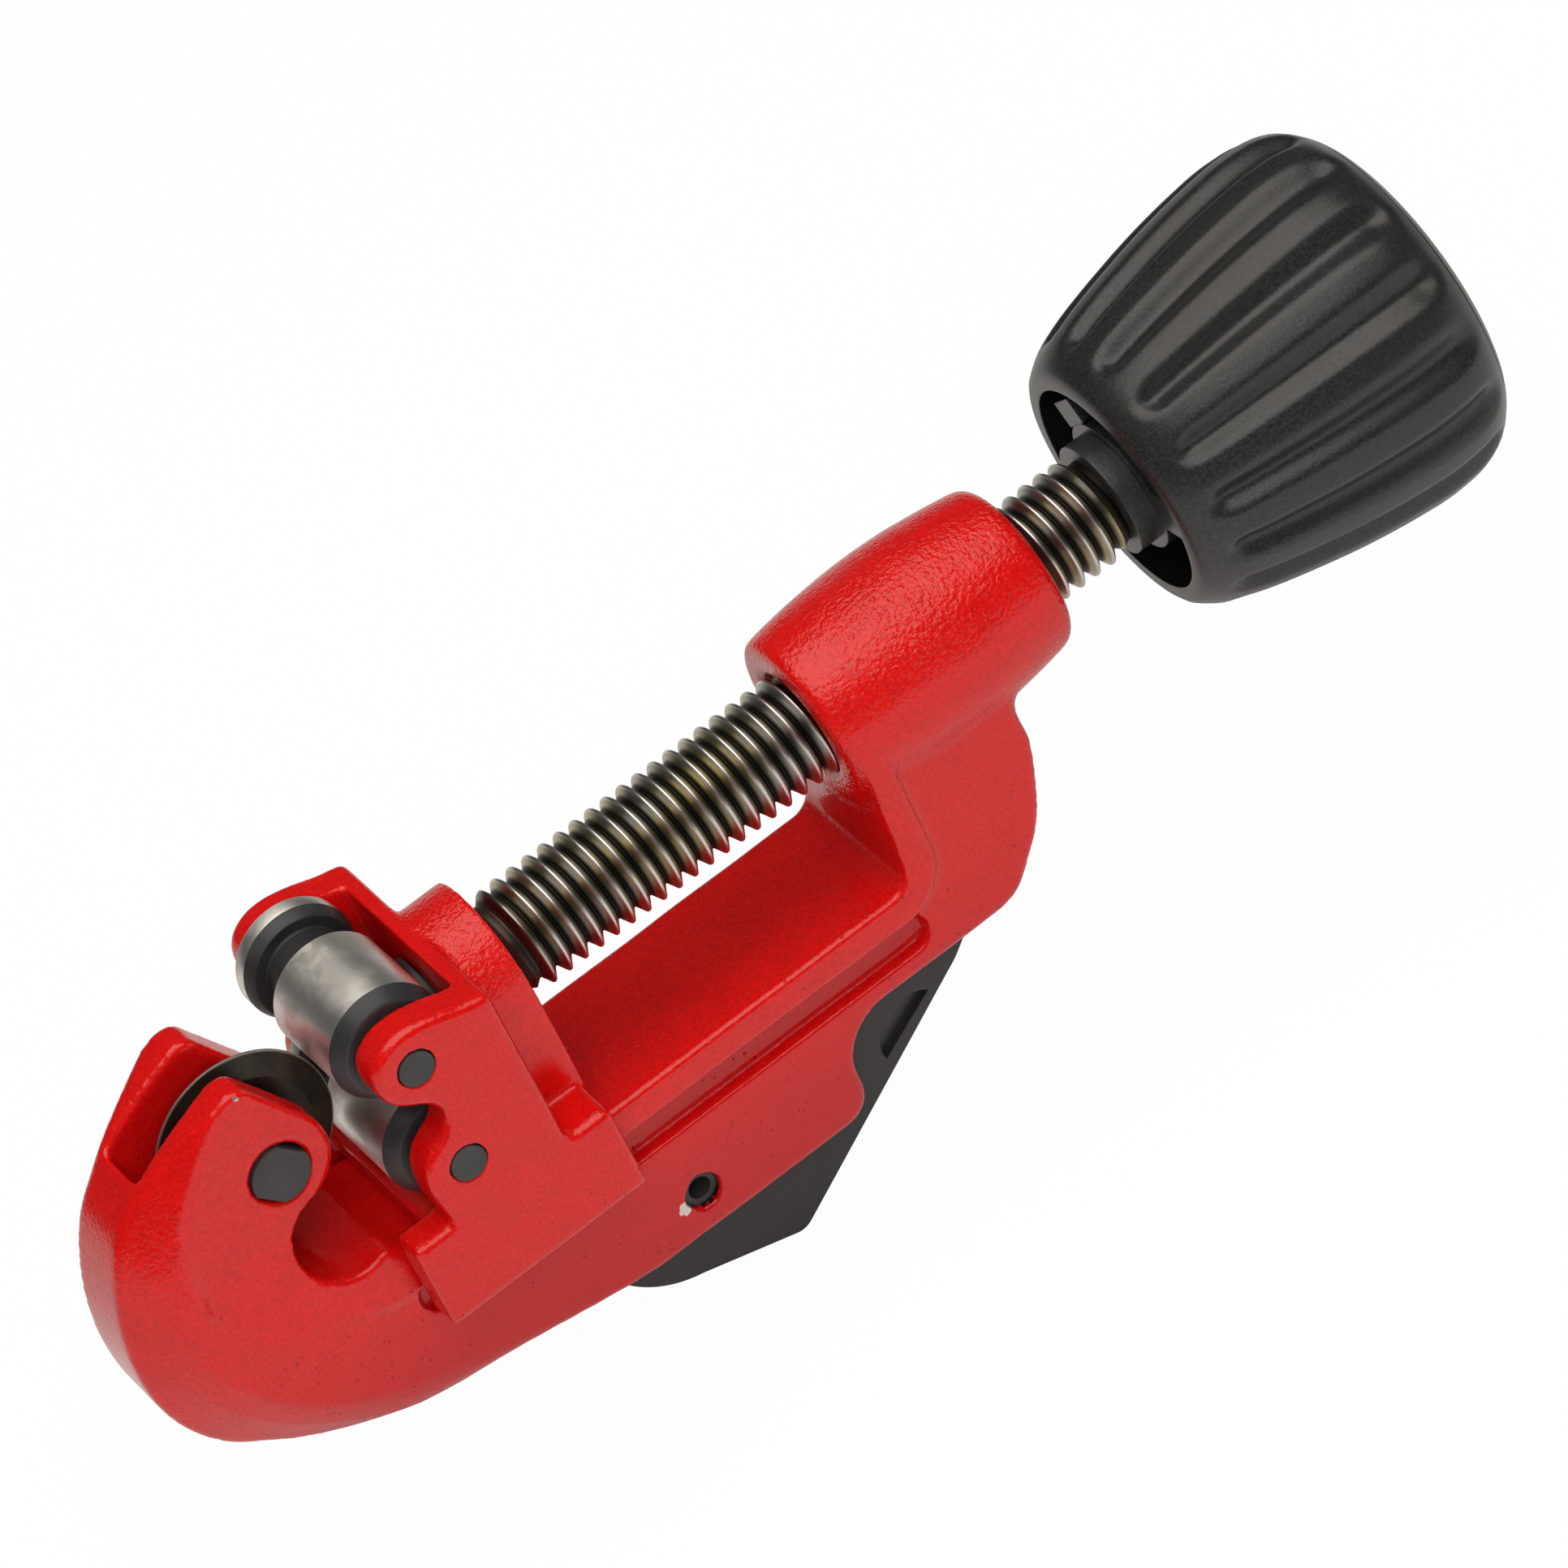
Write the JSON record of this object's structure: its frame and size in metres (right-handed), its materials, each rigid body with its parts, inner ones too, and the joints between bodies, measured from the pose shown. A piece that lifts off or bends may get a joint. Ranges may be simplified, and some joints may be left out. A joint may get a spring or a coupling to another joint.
{
  "type": "pipe cutter",
  "caption": "Hand pipe cutter with a C frame, a cutting wheel, a roller carriage driven by a feed screw, a fluted knob and a deburrer that folds out of the spine.",
  "frame": {"origin": "the cutting point, where the wheel's edge meets the feed screw's axis in the middle plane", "axes": "+X along the feed screw towards the knob, +Z towards the open side of the C frame, +Y across the tool"},
  "size_m": [0.1741, 0.0426, 0.0725],
  "materials": {
    "frame_casting": "satin gloss enamel with fine orange peel",
    "cutting_wheel": "blackened, ground at the edge",
    "wheel_axle": "blackened",
    "axle_clip": "blackened",
    "carriage": "satin gloss enamel with fine orange peel",
    "upper_roller": "turned, with blackened grooves",
    "lower_roller": "turned, with blackened grooves",
    "upper_roller_pin": "blackened",
    "lower_roller_pin": "blackened",
    "feed_screw": "rolled thread, lightly oiled",
    "screw_retaining_ring": "blackened",
    "knob_body": "fine satin texture",
    "knob_bush": "smooth",
    "knob_washer": "zinc",
    "knob_screw": "zinc",
    "knob_cap": "fine satin texture",
    "spare_wheel": "blackened, ground at the edge",
    "reamer_holder": "smooth satin",
    "reamer_blade": "ground",
    "reamer_rivet": "plain",
    "reamer_pivot_pin": "spring steel"
  },
  "bodies": {
    "frame": {"frame_casting": "frame_casting", "wheel_axle": "wheel_axle", "axle_clip": "axle_clip", "reamer_pivot_pin": "reamer_pivot_pin"},
    "wheel": {"cutting_wheel": "cutting_wheel"},
    "slide": {"carriage": "carriage", "upper_roller_pin": "upper_roller_pin", "lower_roller_pin": "lower_roller_pin"},
    "upper_roller": {"upper_roller": "upper_roller"},
    "lower_roller": {"lower_roller": "lower_roller"},
    "spindle": {"feed_screw": "feed_screw", "screw_retaining_ring": "screw_retaining_ring", "knob_body": "knob_body", "knob_bush": "knob_bush", "knob_washer": "knob_washer", "knob_screw": "knob_screw", "knob_cap": "knob_cap", "spare_wheel": "spare_wheel"},
    "reamer": {"reamer_holder": "reamer_holder", "reamer_blade": "reamer_blade", "reamer_rivet": "reamer_rivet"}
  },
  "joints": [
    {"name": "carriage_slide", "type": "slide", "parent": "frame", "child": "slide", "axis": [1, 0, 0], "range_m": [-0.0003, 0.0341]},
    {"name": "screw_turn", "type": "hinge", "parent": "slide", "child": "spindle", "pos_m": [0.06, 0, 0], "axis": [1, 0, 0], "range_deg": [-60, 6150]},
    {"name": "wheel_spin", "type": "hinge", "parent": "frame", "child": "wheel", "pos_m": [-0.01, 0, 0], "axis": [0, 1, 0], "continuous": true},
    {"name": "upper_roller_spin", "type": "hinge", "parent": "slide", "child": "upper_roller", "pos_m": [0.0055, 0, 0.00695], "axis": [0, 1, 0], "continuous": true},
    {"name": "lower_roller_spin", "type": "hinge", "parent": "slide", "child": "lower_roller", "pos_m": [0.0055, 0, -0.00695], "axis": [0, 1, 0], "continuous": true},
    {"name": "reamer_fold", "type": "hinge", "parent": "frame", "child": "reamer", "pos_m": [0.0267, 0, -0.0346], "axis": [0, 1, 0], "range_deg": [0, 64]}
  ],
  "couplings": [
    {"joint": "screw_turn", "follows": "carriage_slide", "rad_per_m": 3141.6}
  ]
}
